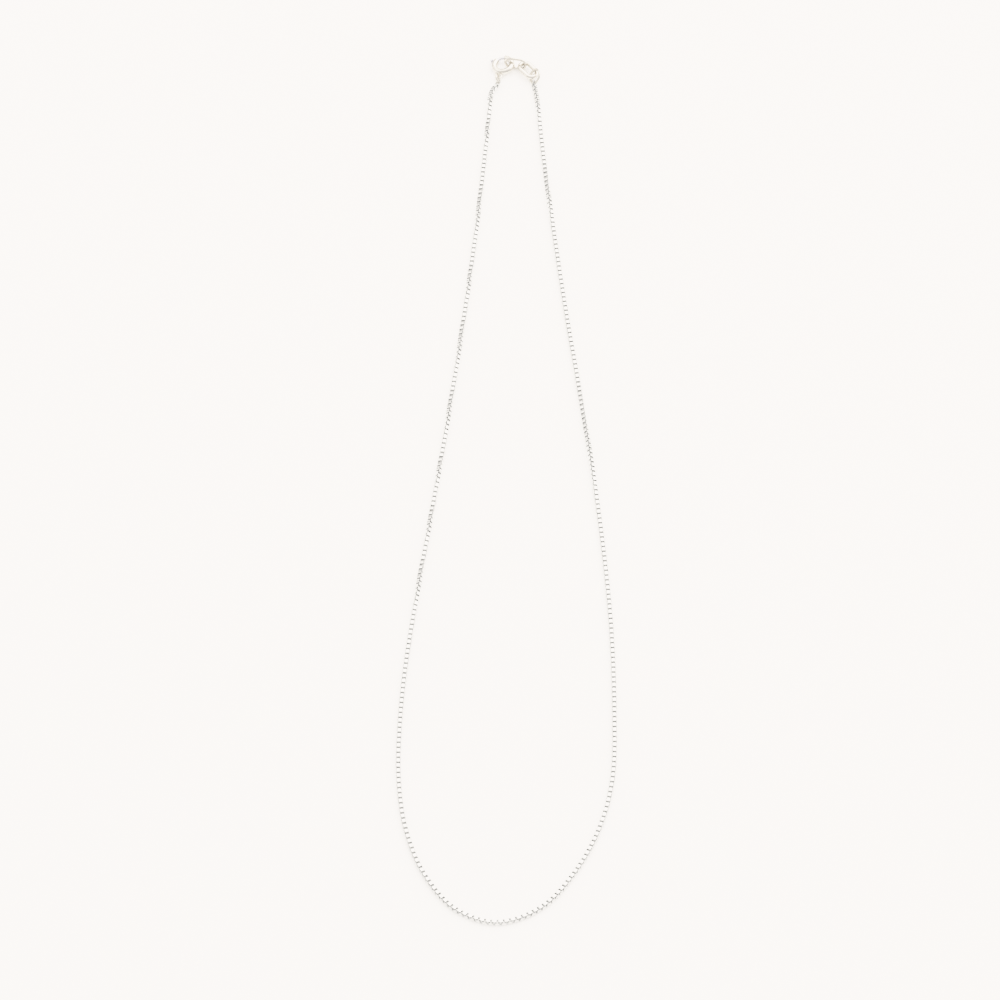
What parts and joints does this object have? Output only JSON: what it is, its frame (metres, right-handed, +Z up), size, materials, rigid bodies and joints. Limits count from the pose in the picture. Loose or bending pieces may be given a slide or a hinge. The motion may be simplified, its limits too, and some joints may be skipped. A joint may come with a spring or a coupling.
{
  "type": "box chain necklace",
  "caption": "Fine box chain necklace, fastened with a spring ring clasp and an oval end link, lying in a long drop shape.",
  "frame": {"origin": "middle of the outline that the necklace covers, on the surface that it lies on", "axes": "+Y from the bottom of the drop towards the clasp, +X to the right strand, +Z up off the surface"},
  "size_m": [0.0423, 0.2181, 0.0029],
  "materials": {
    "chain_silver": "bright polished silver box links",
    "clasp_silver": "polished silver tube with fine handling marks",
    "bolt_silver": "polished silver with draw marks along the bolt",
    "ring_silver": "polished silver wire",
    "link_silver": "polished silver, softly scratched on top"
  },
  "bodies": {
    "necklace": {"chain": "chain_silver", "clasp_case": "clasp_silver", "left_ring": "ring_silver", "catch_ring": "ring_silver", "end_link": "link_silver", "right_ring": "ring_silver"},
    "bolt": {"clasp_bolt": "bolt_silver"}
  },
  "joints": [
    {"name": "bolt_slide", "type": "hinge", "parent": "necklace", "child": "bolt", "pos_m": [-0.0007, 0.106, 0.00094], "axis": [-0.168, 0, 0.9858], "range_deg": [0, 56], "stiffness_Nm_per_rad": 0.00002}
  ]
}
